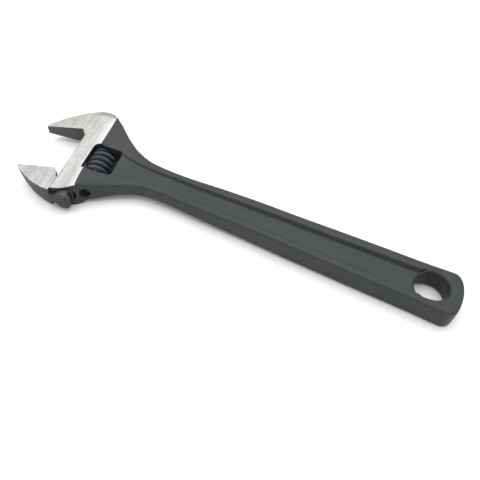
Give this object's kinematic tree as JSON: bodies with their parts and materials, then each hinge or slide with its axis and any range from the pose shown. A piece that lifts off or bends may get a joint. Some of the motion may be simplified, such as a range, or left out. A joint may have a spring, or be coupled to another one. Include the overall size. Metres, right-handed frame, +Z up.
{
  "type": "adjustable wrench",
  "caption": "Adjustable open-jaw wrench with a forged I-section handle, a sliding lower jaw moved by a worm turned with the thumb, and a hanging hole.",
  "frame": {"origin": "centre of the bounding box's underside, under the handle", "axes": "+X along the handle from the jaws to the hanging hole, +Y towards the fixed jaw, +Z up through the thickness"},
  "size_m": [0.378, 0.1072, 0.0222],
  "materials": {
    "forged_black": "black phosphate, satin, with the head's jaw faces ground bright",
    "ground_steel": "ground bright",
    "worm_black": "blue-black, satin",
    "pin_black": "black oxide",
    "spring_steel": "drawn wire"
  },
  "bodies": {
    "frame": {"wrench_body": "forged_black", "worm_pin": "pin_black", "worm_spring": "spring_steel"},
    "jaw": {"sliding_jaw": "ground_steel"},
    "worm": {"adjusting_worm": "worm_black"}
  },
  "joints": [
    {"name": "worm_spin", "type": "hinge", "parent": "frame", "child": "worm", "pos_m": [-0.11884, 0.00955, 0.01107], "axis": [-0.2588, 0.9659, 0], "range_deg": [-3225, 63]},
    {"name": "jaw_slide", "type": "slide", "parent": "frame", "child": "jaw", "axis": [-0.2588, 0.9659, 0], "range_m": [-0.001, 0.0537]}
  ],
  "couplings": [
    {"joint": "worm_spin", "follows": "jaw_slide", "rad_per_m": -1047.2}
  ]
}
